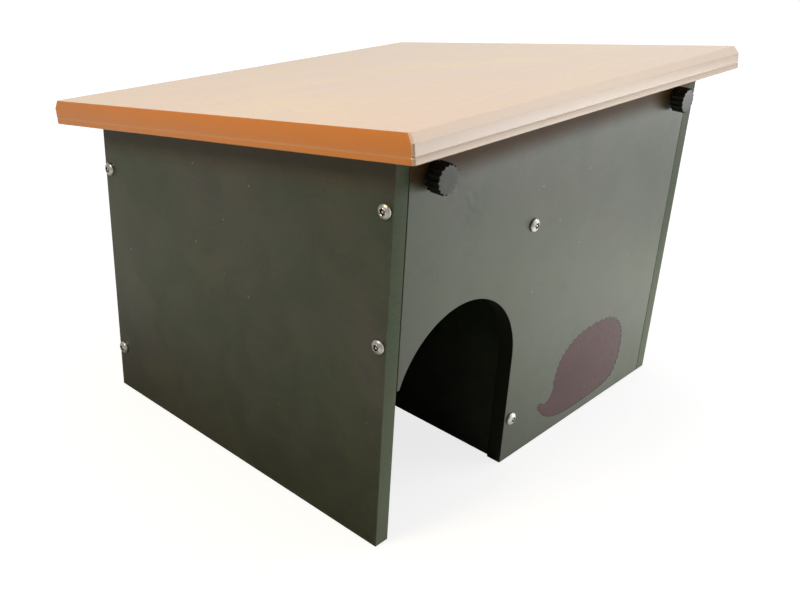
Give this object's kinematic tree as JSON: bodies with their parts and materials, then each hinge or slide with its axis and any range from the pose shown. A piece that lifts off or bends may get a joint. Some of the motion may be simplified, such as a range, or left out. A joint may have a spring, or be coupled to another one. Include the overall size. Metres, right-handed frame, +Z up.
{
  "type": "hedgehog house",
  "caption": "Board shelter for a hedgehog with an arched doorway, an inner tunnel wall and a sloping roof that lifts off once its thumb screws are loosened.",
  "frame": {"origin": "on the ground under the middle of the whole house, roof included", "axes": "+Z up, the front with the doorway faces -Y, +X to the right seen from the front"},
  "size_m": [0.408, 0.3712, 0.3055],
  "materials": {
    "wall_board": "dark green recycled plastic board, faintly cloudy, satin",
    "roof_board": "tan recycled plastic board, fine sanded grain, satin",
    "screw_steel": "bright stainless steel",
    "insert_brass": "plain turned brass",
    "knob_plastic": "black moulded plastic, satin"
  },
  "bodies": {
    "house": {"side_panel_left": "wall_board", "side_panel_right": "wall_board", "front_panel": "wall_board", "back_panel": "wall_board", "partition": "wall_board", "screw_left_front_high": "screw_steel", "screw_left_front_low": "screw_steel", "screw_left_back_high": "screw_steel", "screw_left_back_low": "screw_steel", "screw_right_front_high": "screw_steel", "screw_right_front_low": "screw_steel", "screw_right_back_high": "screw_steel", "screw_right_back_low": "screw_steel", "screw_partition_high": "screw_steel", "screw_partition_low": "screw_steel"},
    "roof": {"roof_panel": "roof_board", "roof_batten_front": "wall_board", "roof_batten_rear": "wall_board", "batten_screw_front_1": "screw_steel", "batten_screw_front_2": "screw_steel", "batten_screw_front_3": "screw_steel", "batten_screw_rear_1": "screw_steel", "batten_screw_rear_2": "screw_steel", "batten_screw_rear_3": "screw_steel", "threaded_insert_left": "insert_brass", "threaded_insert_right": "insert_brass"},
    "left_washer": {"washer_left": "screw_steel"},
    "left_knob": {"knob_left": "knob_plastic", "stud_left": "screw_steel"},
    "right_washer": {"washer_right": "screw_steel"},
    "right_knob": {"knob_right": "knob_plastic", "stud_right": "screw_steel"}
  },
  "joints": [
    {"name": "roof_lift", "type": "slide", "parent": "house", "child": "roof", "axis": [0, 0, 1], "range_m": [0, 0.08]},
    {"name": "left_knob_travel", "type": "slide", "parent": "roof", "child": "left_washer", "axis": [0, -1, 0], "range_m": [0, 0.003]},
    {"name": "left_knob_turn", "type": "hinge", "parent": "left_washer", "child": "left_knob", "pos_m": [-0.154, -0.15839, 0.2657], "axis": [0, -1, 0], "range_deg": [0, 1080]},
    {"name": "right_knob_travel", "type": "slide", "parent": "roof", "child": "right_washer", "axis": [0, -1, 0], "range_m": [0, 0.003]},
    {"name": "right_knob_turn", "type": "hinge", "parent": "right_washer", "child": "right_knob", "pos_m": [0.151, -0.15839, 0.2657], "axis": [0, -1, 0], "range_deg": [0, 1080]}
  ],
  "couplings": [
    {"joint": "left_knob_travel", "follows": "left_knob_turn", "m_per_rad": 0.00015915},
    {"joint": "right_knob_travel", "follows": "right_knob_turn", "m_per_rad": 0.00015915}
  ]
}
